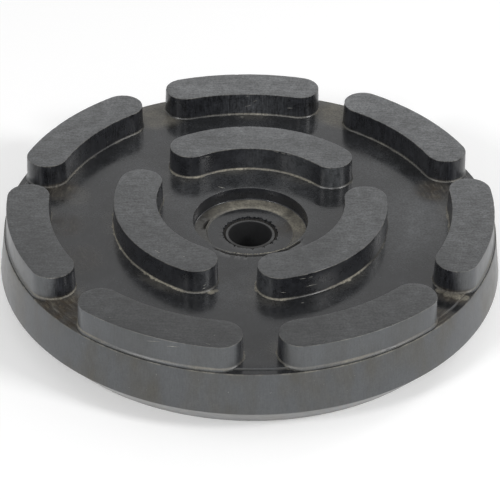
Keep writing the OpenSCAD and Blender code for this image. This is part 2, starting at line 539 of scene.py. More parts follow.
def rubberMaterial(material, s):
    material.use_nodes = True
    tree = material.node_tree
    tree.nodes.clear()
    # where the point is, in mm, and which way its surface looks
    coords = addNode(tree, "ShaderNodeTexCoord")
    place = addNode(
        tree, "ShaderNodeVectorMath", {0: coords.outputs["Object"], "Scale": 1000.0}, operation="SCALE"
    )
    x, y, z = addNode(tree, "ShaderNodeSeparateXYZ", {0: place}).outputs
    flat = addNode(tree, "ShaderNodeCombineXYZ", {"X": x, "Y": y})
    radius = addNode(tree, "ShaderNodeVectorMath", {0: flat}, operation="LENGTH").outputs["Value"]
    angle = addNode(tree, "ShaderNodeMath", {0: y, 1: x}, operation="ARCTAN2")
    surface = addNode(tree, "ShaderNodeNewGeometry")
    up = addNode(tree, "ShaderNodeSeparateXYZ", {0: surface.outputs["Normal"]}).outputs["Z"]
    outDirection = addNode(tree, "ShaderNodeVectorMath", {0: flat}, operation="NORMALIZE")
    outward = addNode(
        tree, "ShaderNodeVectorMath", {0: surface.outputs["Normal"], 1: outDirection},
        operation="DOT_PRODUCT"
    ).outputs["Value"]
    gapTree = blockGapTree()
    gaps = []
    for ring in (outerRing, innerRing):
        gaps.append(addNode(tree, "ShaderNodeGroup", {
            "Radius": radius, "Angle": angle, "Turn": math.radians(ring["turn"]),
            "Sector": math.pi / ring["count"],
            "Half Arc": math.radians(ring["arc"] / 2), "Centre": ring["centre"],
            "Half Width": ring["width"] / 2 + 0.3,
        }, node_tree=gapTree))
    gap = addNode(tree, "ShaderNodeMath", {0: gaps[0], 1: gaps[1]}, operation="MINIMUM")
    # noises, from the finest to the largest
    grain = addNode(tree, "ShaderNodeTexNoise", {"Vector": place, "Scale": 1 / s["grainSize"], "Detail": 2.0})
    mottle = addNode(
        tree, "ShaderNodeTexNoise",
        {"Vector": place, "Scale": 1 / s["mottleSize"], "Detail": 3.0, "Roughness": 0.62}
    )
    patches = addNode(
        tree, "ShaderNodeTexNoise", {"Vector": place, "Scale": 1 / s["patchSize"], "Detail": 2.0}
    )
    upright = addNode(tree, "ShaderNodeVectorMath", {0: place, 1: (1.0, 1.0, 0.09)}, operation="MULTIPLY")
    strokes = addNode(
        tree, "ShaderNodeTexNoise", {"Vector": upright, "Scale": 1 / s["scratchSpacing"], "Detail": 2.0}
    )
    # zones of the part
    level = addNode(tree, "ShaderNodeMapRange", {"Value": up, "From Min": 0.55, "From Max": 0.9})
    high = addNode(tree, "ShaderNodeMapRange", {"Value": z, "From Min": 28.4, "From Max": 28.9})
    low = addNode(tree, "ShaderNodeMapRange", {"Value": z, "From Min": 22.9, "From Max": 22.1})
    blockTop = addNode(tree, "ShaderNodeMath", {0: level, 1: high}, operation="MULTIPLY")
    plateTop = addNode(tree, "ShaderNodeMath", {0: level, 1: low}, operation="MULTIPLY")
    steep = addNode(tree, "ShaderNodeMath", {0: 1.0, 1: level}, operation="SUBTRACT")
    outside = addNode(
        tree, "ShaderNodeMapRange", {"Value": outward, "From Min": 0.3, "From Max": 0.85},
        interpolation_type="SMOOTHSTEP"
    )
    farOut = addNode(tree, "ShaderNodeMapRange", {"Value": radius, "From Min": 62.0, "From Max": 66.0})
    outSteep = addNode(tree, "ShaderNodeMath", {0: outside, 1: farOut}, operation="MULTIPLY")
    outerSkin = addNode(tree, "ShaderNodeMath", {0: outSteep, 1: steep}, operation="MULTIPLY")
    # thin grey haze on parts of the plate: part wax bloom, part painted sheen, strongest on the right of the
    # plate
    aboveRecess = addNode(
        tree, "ShaderNodeMapRange", {"Value": z, "From Min": 18.0, "From Max": 21.0, "To Min": 0.2}
    )
    hazeRoom = addNode(tree, "ShaderNodeMath", {0: aboveRecess, 1: plateTop}, operation="MULTIPLY")
    hazeAndSheen = addNode(
        tree, "ShaderNodeMath", {0: spread(tree, flat, s["hazeAndSheenSpots"], 0.0), 1: hazeRoom},
        operation="MULTIPLY"
    )
    innerWall = addNode(tree, "ShaderNodeMath", {0: steep, 1: outerSkin}, operation="SUBTRACT")
    # painted highlight: grey spots on the inner walls of the blocks
    paintedWallSheen = addNode(
        tree, "ShaderNodeMath", {0: spread(tree, flat, s["paintedWallSheen"], 0.0), 1: innerWall},
        operation="MULTIPLY"
    )
    # worn tops: the worn grey is painted lighter towards the back of the pad and a little towards the right,
    # as painted light
    slanted = addNode(tree, "ShaderNodeMath", {0: x, 1: 0.2, 2: y}, operation="MULTIPLY_ADD")
    paintedBackLight = addNode(
        tree, "ShaderNodeMapRange",
        {"Value": slanted, "From Min": -70.0, "From Max": 70.0, "To Min": 0.45, "To Max": 1.95}
    )
    worn = addNode(
        tree, "ShaderNodeMix", {0: 1.0, 6: linearColour(s["wornTop"]), 7: paintedBackLight}, data_type="RGBA",
        blend_type="MULTIPLY"
    )
    skin = addNode(
        tree, "ShaderNodeMix", {0: hazeAndSheen, 6: linearColour(s["blackSkin"]), 7: linearColour(s["bloomAndSheen"])},
        data_type="RGBA"
    )
    withWalls = addNode(
        tree, "ShaderNodeMix", {0: steep, 6: skin.outputs[2], 7: linearColour(s["wallSkin"])},
        data_type="RGBA"
    )
    withPaintedWallSheen = addNode(
        tree, "ShaderNodeMix", {0: paintedWallSheen, 6: withWalls.outputs[2], 7: linearColour(s["bloomAndSheen"])},
        data_type="RGBA"
    )
    withTops = addNode(
        tree, "ShaderNodeMix", {0: blockTop, 6: withPaintedWallSheen.outputs[2], 7: worn.outputs[2]}, data_type="RGBA"
    )
    smearPlace = addNode(tree, "ShaderNodeVectorMath", {0: place, 1: (1.0, 1.0, 0.35)}, operation="MULTIPLY")
    smears = addNode(
        tree, "ShaderNodeTexNoise",
        {"Vector": smearPlace, "Scale": 1 / 9.0, "Detail": 3.0, "Roughness": 0.55}
    )
    older = addNode(
        tree, "ShaderNodeMapRange", {"Value": smears, "From Min": 0.42, "From Max": 0.66, "To Max": 0.7}
    )
    olderLow = addNode(
        tree, "ShaderNodeMapRange",
        {"Value": z, "From Min": 21.0, "From Max": 21.8, "To Min": 1.0, "To Max": 0.3}
    )
    olderRoom = addNode(tree, "ShaderNodeMath", {0: older, 1: olderLow}, operation="MULTIPLY")
    # outward faces of the outer blocks and the plate's wall: grey wax bloom, partly a painted reflection of
    # the pale floor
    outerBloomAndReflectionTone = addNode(
        tree, "ShaderNodeMix", {0: olderRoom, 6: linearColour(s["bloomAndSheen"]), 7: linearColour(s["oldBloomAndSheen"])},
        data_type="RGBA"
    )
    withOuterBloomAndReflection = addNode(
        tree, "ShaderNodeMix", {0: outerSkin, 6: withTops.outputs[2], 7: outerBloomAndReflectionTone.outputs[2]},
        data_type="RGBA"
    )
    # dust: a broken line in the corner at each foot, which is dust and also a painted highlight on the foot's
    # fillet, a ring on the recess floor and the ledge under the rim
    wider = addNode(
        tree, "ShaderNodeMapRange", {"Value": mottle, "From Min": 0.52, "From Max": 0.72, "To Max": 0.8}
    )
    footGap = addNode(tree, "ShaderNodeMath", {0: gap, 1: wider}, operation="SUBTRACT")
    footLine = addNode(tree, "ShaderNodeMapRange", {"Value": footGap, "From Min": 0.36, "From Max": 0.14})
    footLow = addNode(tree, "ShaderNodeMapRange", {"Value": z, "From Min": 22.25, "From Max": 21.95})
    footHigh = addNode(tree, "ShaderNodeMapRange", {"Value": z, "From Min": 21.2, "From Max": 21.5})
    footRound = addNode(tree, "ShaderNodeMath", {0: footLine, 1: footLow}, operation="MULTIPLY")
    footGround = addNode(tree, "ShaderNodeMath", {0: footRound, 1: footHigh}, operation="MULTIPLY")
    broken = addNode(
        tree, "ShaderNodeMapRange",
        {"Value": mottle, "From Min": 0.4, "From Max": 0.66, "To Min": 0.08, "To Max": 0.5}
    )
    changing = addNode(
        tree, "ShaderNodeMapRange",
        {"Value": patches, "From Min": 0.4, "From Max": 0.62, "To Min": 0.12, "To Max": 0.9}
    )
    footInner = addNode(
        tree, "ShaderNodeMapRange",
        {"Value": radius, "From Min": 42.0, "From Max": 56.0, "To Min": 1.0, "To Max": 0.62}
    )
    footMuch = addNode(tree, "ShaderNodeMath", {0: changing, 1: footInner}, operation="MULTIPLY")
    footDustAndHighlight = addNode(tree, "ShaderNodeMath", {0: footGround, 1: footMuch}, operation="MULTIPLY")
    nearFoot = addNode(
        tree, "ShaderNodeMapRange", {"Value": gap, "From Min": 4.5, "From Max": 0.3},
        interpolation_type="SMOOTHSTEP"
    )
    cloudy = addNode(
        tree, "ShaderNodeMapRange", {"Value": patches, "From Min": 0.5, "From Max": 0.7, "To Max": 0.16}
    )
    footCloud = addNode(tree, "ShaderNodeMath", {0: nearFoot, 1: cloudy}, operation="MULTIPLY")
    cloudOnPlate = addNode(tree, "ShaderNodeMath", {0: footCloud, 1: plateTop}, operation="MULTIPLY")
    ringIn = addNode(tree, "ShaderNodeMapRange", {"Value": radius, "From Min": 12.6, "From Max": 13.0})
    ringOut = addNode(tree, "ShaderNodeMapRange", {"Value": radius, "From Min": 17.0, "From Max": 16.8})
    ringLow = addNode(
        tree, "ShaderNodeMapRange", {"Value": z, "From Min": 18.2, "From Max": 17.6, "To Max": 0.75}
    )
    ringBand = addNode(tree, "ShaderNodeMath", {0: ringIn, 1: ringOut}, operation="MULTIPLY")
    ringDust = addNode(tree, "ShaderNodeMath", {0: ringBand, 1: ringLow}, operation="MULTIPLY")
    ringBack = addNode(
        tree, "ShaderNodeMapRange", {"Value": y, "From Min": -9.0, "From Max": 3.0, "To Min": 0.15}
    )
    ringUneven = addNode(
        tree, "ShaderNodeMapRange", {"Value": mottle, "From Min": 0.3, "From Max": 0.6, "To Min": 0.7}
    )
    ringFaded = addNode(tree, "ShaderNodeMath", {0: ringDust, 1: ringBack}, operation="MULTIPLY")
    ringBroken = addNode(tree, "ShaderNodeMath", {0: ringFaded, 1: ringUneven}, operation="MULTIPLY")
    ringLeft = addNode(
        tree, "ShaderNodeMapRange", {"Value": x, "From Min": -14.5, "From Max": -6.0, "To Min": 0.3}
    )
    ringShaded = addNode(tree, "ShaderNodeMath", {0: ringBroken, 1: ringLeft}, operation="MULTIPLY")
    ringOrCloud = addNode(tree, "ShaderNodeMath", {0: ringShaded, 1: cloudOnPlate}, operation="MAXIMUM")
    heaps = addNode(
        tree, "ShaderNodeMath", {0: spread(tree, flat, s["dustSpots"], 0.5), 1: plateTop},
        operation="MULTIPLY"
    )
    ringOrHeap = addNode(tree, "ShaderNodeMath", {0: ringOrCloud, 1: heaps}, operation="MAXIMUM")
    dustAndFootHighlight = addNode(tree, "ShaderNodeMath", {0: ringOrHeap, 1: footDustAndHighlight}, operation="MAXIMUM")
    # brown dirt lies in the gaps, thickest where the spots are
    dirt = spread(tree, flat, s["dirtSpots"], 0.35)
    crumbly = addNode(
        tree, "ShaderNodeMapRange", {"Value": mottle, "From Min": 0.3, "From Max": 0.6, "To Min": 0.35}
    )
    dirtSpread = addNode(tree, "ShaderNodeMath", {0: dirt, 1: crumbly}, operation="MULTIPLY")
    onLedge = addNode(tree, "ShaderNodeMapRange", {"Value": z, "From Min": 20.8, "From Max": 20.95})
    belowTop = addNode(tree, "ShaderNodeMapRange", {"Value": radius, "From Min": 73.3, "From Max": 73.2})
    stepFace = addNode(tree, "ShaderNodeMath", {0: onLedge, 1: belowTop}, operation="MULTIPLY")
    lowStep = addNode(tree, "ShaderNodeMath", {0: stepFace, 1: low}, operation="MULTIPLY")
    dirtRoom = addNode(tree, "ShaderNodeMath", {0: lowStep, 1: plateTop}, operation="MAXIMUM")
    dirtPlate = addNode(tree, "ShaderNodeMath", {0: dirtSpread, 1: dirtRoom}, operation="MULTIPLY")
    # the dirt lies in layers that follow the rim
    sweep = addNode(tree, "ShaderNodeMath", {0: angle, 1: 14.0}, operation="MULTIPLY")
    outwards = addNode(tree, "ShaderNodeMath", {0: radius, 1: 1.1}, operation="MULTIPLY")
    layerPlace = addNode(tree, "ShaderNodeCombineXYZ", {"X": sweep, "Y": outwards})
    layers = addNode(
        tree, "ShaderNodeTexNoise", {"Vector": layerPlace, "Scale": 1.0, "Detail": 3.0, "Roughness": 0.65}
    )
    layerTone = addNode(
        tree, "ShaderNodeMapRange", {"Value": layers, "From Min": 0.48, "From Max": 0.72, "To Max": 0.5}
    )
    # painted shade: the crease beside the fin, the groove, the pit and the front of the lip are painted dark
    # and dull where shade falls in them; the ledge is painted dark as dirt and painted shade together; and
    # the inside of the hole is painted near black and dull as painted shade
    ledgeIn = addNode(tree, "ShaderNodeMapRange", {"Value": radius, "From Min": 71.2, "From Max": 71.4})
    ledgeOut = addNode(
        tree, "ShaderNodeMapRange", {"Value": radius, "From Min": 71.8, "From Max": 71.5, "To Max": 0.4}
    )
    ledgeLow = addNode(tree, "ShaderNodeMapRange", {"Value": z, "From Min": 21.75, "From Max": 21.45})
    ledgeHigh = addNode(tree, "ShaderNodeMapRange", {"Value": z, "From Min": 20.7, "From Max": 20.85})
    ledgeBand = addNode(tree, "ShaderNodeMath", {0: ledgeIn, 1: ledgeOut}, operation="MULTIPLY")
    ledgeZone = addNode(tree, "ShaderNodeMath", {0: ledgeLow, 1: ledgeHigh}, operation="MULTIPLY")
    ledge = addNode(tree, "ShaderNodeMath", {0: ledgeBand, 1: ledgeZone}, operation="MULTIPLY")
    ledgeBare = addNode(tree, "ShaderNodeMath", {0: 1.0, 1: dirtSpread}, operation="SUBTRACT")
    ledgeShadeAndDirt = addNode(tree, "ShaderNodeMath", {0: ledge, 1: ledgeBare}, operation="MULTIPLY")
    creaseOut = addNode(tree, "ShaderNodeMapRange", {"Value": radius, "From Min": 18.9, "From Max": 18.7})
    creaseIn = addNode(tree, "ShaderNodeMapRange", {"Value": radius, "From Min": 17.95, "From Max": 18.05})
    creaseLow = addNode(tree, "ShaderNodeMapRange", {"Value": z, "From Min": 21.58, "From Max": 21.45})
    creaseHigh = addNode(tree, "ShaderNodeMath", {0: z, 1: 20.0}, operation="GREATER_THAN")
    creaseBand = addNode(tree, "ShaderNodeMath", {0: creaseOut, 1: creaseIn}, operation="MULTIPLY")
    creaseZone = addNode(tree, "ShaderNodeMath", {0: creaseLow, 1: creaseHigh}, operation="MULTIPLY")
    crease = addNode(tree, "ShaderNodeMath", {0: creaseBand, 1: creaseZone}, operation="MULTIPLY")
    # painted shade: the inside of the hole is painted near black
    holeShade = addNode(tree, "ShaderNodeMapRange", {"Value": radius, "From Min": 6.75, "From Max": 6.55})
    groove = addNode(tree, "ShaderNodeMapRange", {"Value": z, "From Min": 16.5, "From Max": 16.3})
    grooveNear = addNode(tree, "ShaderNodeMapRange", {"Value": radius, "From Min": 10.2, "From Max": 10.0})
    grooveZone = addNode(tree, "ShaderNodeMath", {0: groove, 1: grooveNear}, operation="MULTIPLY")
    pitIn = addNode(tree, "ShaderNodeMapRange", {"Value": radius, "From Min": 13.45, "From Max": 13.6})
    pitLow = addNode(tree, "ShaderNodeMapRange", {"Value": z, "From Min": 17.3, "From Max": 17.0})
    pitOut = addNode(tree, "ShaderNodeMapRange", {"Value": radius, "From Min": 15.4, "From Max": 15.2})
    pitBand = addNode(tree, "ShaderNodeMath", {0: pitIn, 1: pitOut}, operation="MULTIPLY")
    pit = addNode(tree, "ShaderNodeMath", {0: pitBand, 1: pitLow}, operation="MULTIPLY")
    pitHigh = addNode(tree, "ShaderNodeMath", {0: z, 1: 15.0}, operation="GREATER_THAN")
    pitZone = addNode(tree, "ShaderNodeMath", {0: pit, 1: pitHigh}, operation="MULTIPLY")
    pitOrGroove = addNode(tree, "ShaderNodeMath", {0: pitZone, 1: grooveZone}, operation="MAXIMUM")
    lipFront = addNode(
        tree, "ShaderNodeMapRange", {"Value": y, "From Min": -2.0, "From Max": -6.0, "To Max": 0.6}
    )
    lipIn = addNode(tree, "ShaderNodeMapRange", {"Value": radius, "From Min": 8.3, "From Max": 8.0})
    lipFrontShade = addNode(tree, "ShaderNodeMath", {0: lipFront, 1: lipIn}, operation="MULTIPLY")
    pitOrLip = addNode(tree, "ShaderNodeMath", {0: pitOrGroove, 1: lipFrontShade}, operation="MAXIMUM")
    hollowShade = addNode(tree, "ShaderNodeMath", {0: crease, 1: pitOrLip}, operation="MAXIMUM")
    shadeAndDirt = addNode(tree, "ShaderNodeMath", {0: ledgeShadeAndDirt, 1: hollowShade}, operation="MAXIMUM")
    # the rim's edge is rubbed lighter; the bevel is painted paler as a painted reflection of the pale floor;
    # the lip and the torn fin are painted pale; the top edges of the blocks get a pale line that is wear and
    # a painted highlight
    rimOut = addNode(tree, "ShaderNodeMapRange", {"Value": radius, "From Min": 73.2, "From Max": 73.35})
    rimHigh = addNode(tree, "ShaderNodeMapRange", {"Value": z, "From Min": 20.55, "From Max": 20.75})
    rimZone = addNode(tree, "ShaderNodeMath", {0: rimOut, 1: rimHigh}, operation="MULTIPLY")
    rimRub = addNode(tree, "ShaderNodeMath", {0: rimZone, 1: broken}, operation="MULTIPLY")
    bevelPaintedReflection = addNode(
        tree, "ShaderNodeMapRange", {"Value": z, "From Min": 8.5, "From Max": 8.0, "To Max": 0.1}
    )
    rimRubAndBevelReflection = addNode(tree, "ShaderNodeMath", {0: rimRub, 1: bevelPaintedReflection}, operation="MAXIMUM")
    lipLow = addNode(
        tree, "ShaderNodeMapRange", {"Value": z, "From Min": 16.35, "From Max": 16.5, "To Max": 0.03}
    )
    lipNear = addNode(tree, "ShaderNodeMapRange", {"Value": radius, "From Min": 7.6, "From Max": 7.4})
    lipRub = addNode(tree, "ShaderNodeMath", {0: lipLow, 1: lipNear}, operation="MULTIPLY")
    finHigh = addNode(
        tree, "ShaderNodeMapRange", {"Value": z, "From Min": 21.62, "From Max": 21.7, "To Max": 0.75}
    )
    finNear = addNode(tree, "ShaderNodeMapRange", {"Value": radius, "From Min": 18.3, "From Max": 18.1})
    finPale = addNode(tree, "ShaderNodeMath", {0: finHigh, 1: finNear}, operation="MULTIPLY")
    edgeHigh = addNode(tree, "ShaderNodeMapRange", {"Value": z, "From Min": 28.75, "From Max": 28.95})
    edgeZone = addNode(tree, "ShaderNodeMath", {0: edgeHigh, 1: steep}, operation="MULTIPLY")
    edgeWearAndHighlight = addNode(tree, "ShaderNodeMath", {0: edgeZone, 1: broken}, operation="MULTIPLY")
    lipOrFin = addNode(tree, "ShaderNodeMath", {0: lipRub, 1: finPale}, operation="MAXIMUM")
    finOrEdge = addNode(tree, "ShaderNodeMath", {0: lipOrFin, 1: edgeWearAndHighlight}, operation="MAXIMUM")
    pale = addNode(tree, "ShaderNodeMath", {0: rimRubAndBevelReflection, 1: finOrEdge}, operation="MAXIMUM")
    dirtTone = addNode(
        tree, "ShaderNodeMix",
        {0: layerTone, 6: linearColour(s["brownDirt"]), 7: linearColour(s["tanDust"])}, data_type="RGBA"
    )
    withDirt = addNode(
        tree, "ShaderNodeMix", {0: dirtPlate, 6: withOuterBloomAndReflection.outputs[2], 7: dirtTone.outputs[2]},
        data_type="RGBA"
    )
    withDustAndFootHighlight = addNode(
        tree, "ShaderNodeMix", {0: dustAndFootHighlight, 6: withDirt.outputs[2], 7: linearColour(s["tanDust"])},
        data_type="RGBA"
    )
    withPale = addNode(
        tree, "ShaderNodeMix", {0: pale, 6: withDustAndFootHighlight.outputs[2], 7: linearColour(s["paleRubAndPaintedLight"])},
        data_type="RGBA"
    )
    withShadeAndDirt = addNode(
        tree, "ShaderNodeMix", {0: shadeAndDirt, 6: withPale.outputs[2], 7: linearColour(s["shadeAndDirt"])},
        data_type="RGBA"
    )
    withHoleShade = addNode(
        tree, "ShaderNodeMix", {0: holeShade, 6: withShadeAndDirt.outputs[2], 7: linearColour(s["paintedHoleShade"])},
        data_type="RGBA"
    )
    # fine light and dark mottling over everything, and upright strokes on the walls
    fineTone = addNode(
        tree, "ShaderNodeMapRange",
        {"Value": grain, "From Min": 0.3, "From Max": 0.7, "To Min": 0.6, "To Max": 1.4}
    )
    softTone = addNode(
        tree, "ShaderNodeMapRange",
        {"Value": mottle, "From Min": 0.3, "From Max": 0.7, "To Min": 0.72, "To Max": 1.28}
    )
    largeTone = addNode(
        tree, "ShaderNodeMapRange",
        {"Value": patches, "From Min": 0.3, "From Max": 0.7, "To Min": 0.8, "To Max": 1.2}
    )
    strokeTone = addNode(
        tree, "ShaderNodeMapRange",
        {"Value": strokes, "From Min": 0.3, "From Max": 0.7, "To Min": -0.14, "To Max": 0.2}
    )
    strokeMore = addNode(
        tree, "ShaderNodeMapRange",
        {"Value": radius, "From Min": 50.0, "From Max": 56.0, "To Min": 1.0, "To Max": 4.0}
    )
    strokeRoom = addNode(tree, "ShaderNodeMath", {0: strokeMore, 1: innerWall}, operation="MULTIPLY")
    strokeWalls = addNode(
        tree, "ShaderNodeMath", {0: strokeTone, 1: strokeRoom, 2: fineTone}, operation="MULTIPLY_ADD"
    )
    brushPlace = addNode(
        tree, "ShaderNodeMapping",
        {"Vector": place, "Rotation": (0, 0, math.radians(-24)), "Scale": (0.3, 2.0, 0.3)}
    )
    brushed = addNode(
        tree, "ShaderNodeTexNoise", {"Vector": brushPlace, "Scale": 1.0, "Detail": 3.0, "Roughness": 0.6}
    )
    brushTone = addNode(
        tree, "ShaderNodeMapRange",
        {"Value": brushed, "From Min": 0.3, "From Max": 0.7, "To Min": -0.32, "To Max": 0.32}
    )
    brushTops = addNode(
        tree, "ShaderNodeMath", {0: brushTone, 1: blockTop, 2: strokeWalls}, operation="MULTIPLY_ADD"
    )
    toneA = addNode(tree, "ShaderNodeMath", {0: brushTops, 1: softTone}, operation="MULTIPLY")
    toneB = addNode(tree, "ShaderNodeMath", {0: toneA, 1: largeTone}, operation="MULTIPLY")
    calm = addNode(tree, "ShaderNodeMath", {0: outerSkin, 1: 0.8}, operation="MULTIPLY")
    outerTone = addNode(
        tree, "ShaderNodeMapRange",
        {"Value": z, "From Min": 20.9, "From Max": 21.8, "To Min": 0.93, "To Max": 1.05}
    )
    smearTone = addNode(
        tree, "ShaderNodeMapRange",
        {"Value": smears, "From Min": 0.3, "From Max": 0.7, "To Min": 1.13, "To Max": 0.87}
    )
    outerSmear = addNode(tree, "ShaderNodeMath", {0: outerTone, 1: smearTone}, operation="MULTIPLY")
    outerStroke = addNode(
        tree, "ShaderNodeMath", {0: strokeTone, 1: 0.6, 2: outerSmear}, operation="MULTIPLY_ADD"
    )
    tone = addNode(tree, "ShaderNodeMix", {0: calm, 2: toneB, 3: outerStroke}, data_type="FLOAT")
    colour = addNode(
        tree, "ShaderNodeMix", {0: 1.0, 6: withHoleShade.outputs[2], 7: tone}, data_type="RGBA",
        blend_type="MULTIPLY"
    )
    # gloss
    rough = addNode(
        tree, "ShaderNodeMapRange",
        {"Value": steep, "To Min": s["skinRoughness"], "To Max": s["wallRoughness"]}
    )
    dull = addNode(tree, "ShaderNodeMath", {0: blockTop, 1: outerSkin}, operation="MAXIMUM")
    topGloss = addNode(
        tree, "ShaderNodeMix", {0: blockTop, 2: rough, 3: s["wornRoughness"]}, data_type="FLOAT"
    )
    wornGloss = addNode(
        tree, "ShaderNodeMix", {0: outerSkin, 2: topGloss, 3: s["bloomRoughness"]}, data_type="FLOAT"
    )
    dustOrDirt = addNode(tree, "ShaderNodeMath", {0: dustAndFootHighlight, 1: dirtPlate}, operation="MAXIMUM")
    shadeDirtOrHole = addNode(tree, "ShaderNodeMath", {0: holeShade, 1: shadeAndDirt}, operation="MAXIMUM")
    rimOrFin = addNode(tree, "ShaderNodeMath", {0: rimZone, 1: finPale}, operation="MAXIMUM")
    rubOrSoot = addNode(tree, "ShaderNodeMath", {0: rimOrFin, 1: shadeDirtOrHole}, operation="MAXIMUM")
    dulledZones = addNode(tree, "ShaderNodeMath", {0: dustOrDirt, 1: rubOrSoot}, operation="MAXIMUM")
    dulledGloss = addNode(tree, "ShaderNodeMix", {0: dulledZones, 2: wornGloss, 3: 0.8}, data_type="FLOAT")
    unevenGloss = addNode(
        tree, "ShaderNodeMapRange",
        {"Value": mottle, "From Min": 0.3, "From Max": 0.7, "To Min": -0.04, "To Max": 0.05}
    )
    smear = addNode(
        tree, "ShaderNodeMapRange",
        {"Value": patches, "From Min": 0.35, "From Max": 0.7, "To Min": 0.0, "To Max": 0.12}
    )
    smeared = addNode(
        tree, "ShaderNodeMath", {0: smear, 1: plateTop, 2: unevenGloss}, operation="MULTIPLY_ADD"
    )
    gloss = addNode(tree, "ShaderNodeMath", {0: dulledGloss, 1: smeared}, operation="ADD")
    # relief: grain on the worn faces, strokes on the walls, crumbs in the dirt
    grainRelief = addNode(tree, "ShaderNodeMapRange", {"Value": dull, "To Min": 0.35, "To Max": 1.0})
    crumbRelief = addNode(
        tree, "ShaderNodeMath", {0: dulledZones, 1: 5.0, 2: grainRelief}, operation="MULTIPLY_ADD"
    )
    relief = addNode(tree, "ShaderNodeMath", {0: grain, 1: crumbRelief}, operation="MULTIPLY")
    strokeDepth = addNode(tree, "ShaderNodeMath", {0: innerWall, 1: 0.45}, operation="MULTIPLY")
    strokeRelief = addNode(
        tree, "ShaderNodeMath", {0: strokes, 1: strokeDepth, 2: relief}, operation="MULTIPLY_ADD"
    )
    bump = addNode(
        tree, "ShaderNodeBump", {"Height": strokeRelief, "Strength": 1.0, "Distance": s["grainDepth"] * mm}
    )
    shader = addNode(tree, "ShaderNodeBsdfPrincipled", {
        "Base Color": colour.outputs[2], "Roughness": gloss, "IOR": s["ior"], "Normal": bump,
    })
    addNode(tree, "ShaderNodeOutputMaterial", {"Surface": shader})


rubberMaterial(rubber, rubberSetup)
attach(pad, "root")
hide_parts("rubber_pad")
print("rubber finished")


# Scuffs: slivers of rubber lifted by knocks, a few listed one by one where the photo has them, the rest by
# chance
scuffSetup = {
    "colour": "#86857f",
    "roughness": 0.42,
    "width": 0.22,
    "height": 0.08,
    "density": 24000.0,
    "seed": 5,
    "marks": [
        # start, end: mm
        ((7.0, 27.1, 28.6), (8.5, 26.7, 28.5)), ((9.1, 26.5, 28.5), (10.6, 25.9, 28.4)),
        ((11.0, 25.7, 28.5), (12.2, 25.2, 28.5)),
        ((-2.3, 59.7, 24.3), (-0.3, 59.7, 25.1)), ((0.0, 59.8, 26.1), (1.9, 59.8, 27.0)),
        ((11.2, 58.7, 24.8), (13.1, 58.3, 25.0)),
        ((-2.0, 59.8, 28.2), (-1.0, 59.9, 28.4)), ((-28.0, -66.8, 27.1), (-24.1, -68.3, 28.1)),
        ((-22.2, -69.0, 27.1), (-18.9, -70.0, 27.6)),
        ((-13.2, -36.7, 23.8), (-12.4, -36.3, 24.0)), ((-13.4, -36.8, 22.8), (-12.4, -36.3, 23.0)),
        ((16.1, -37.5, 24.8), (19.3, -36.0, 24.6)),
        ((14.3, -38.1, 27.8), (16.0, -37.5, 27.7)), ((9.0, -39.8, 24.2), (10.4, -39.5, 24.0)),
        ((16.9, -37.1, 27.6), (18.0, -36.5, 27.6)),
        ((-42.8, -58.4, 28.3), (-42.5, -58.7, 28.5)), ((-45.0, -57.3, 21.8), (-44.7, -57.4, 21.9)),
        ((-61.1, 16.1, 28.5), (-60.8, 16.2, 28.5)),
        ((-45.3, 38.9, 23.6), (-45.0, 39.2, 23.4)), ((-10.1, 17.7, 21.6), (-7.9, 16.9, 21.6)),
        ((-9.6, 17.2, 21.6), (-8.3, 16.9, 21.6)),
        ((-14.2, 24.1, 28.1), (-12.7, 24.9, 27.8)), ((-24.6, 56.7, 21.8), (-23.0, 56.2, 22.0)),
        ((11.6, 58.3, 21.7), (13.2, 58.0, 21.7)),
        ((15.1, 57.9, 21.9), (17.4, 58.2, 21.8)), ((-3.8, 58.0, 21.6), (-2.5, 58.1, 21.6)),
        ((-27.3, -26.8, 29.1), (-25.8, -28.2, 29.1)),
        ((-19.2, -29.6, 29.1), (-18.6, -29.8, 29.1)), ((-11.6, -70.0, 29.1), (-10.2, -70.6, 29.1)),
        ((14.7, -41.2, 21.6), (15.6, -40.9, 21.6)),
    ],
}


def buildMarks(s, ground):
    # one point per mark, snapped to the pad, that holds its direction, its normal and its stretch
    thing = meshObject("scuffs", [(Vector(a) + Vector(b)) / 2 for a, b in s["marks"]], [])
    aim = thing.data.attributes.new("aim", "FLOAT_VECTOR", "POINT")
    facing = thing.data.attributes.new("facing", "FLOAT_VECTOR", "POINT")
    stretch = thing.data.attributes.new("stretch", "FLOAT_VECTOR", "POINT")
    for i, (a, b) in enumerate(s["marks"]):
        spot, normal = ground.closest_point_on_mesh((Vector(a) + Vector(b)) / 2 * mm)[1:3]
        thing.data.vertices[i].co = spot
        aim.data[i].vector = (Vector(b) - Vector(a)).normalized()
        facing.data[i].vector = normal
        stretch.data[i].vector = Vector((max(math.dist(a, b) * 1.25, 0.5), s["width"], s["height"])) * mm
    return thing


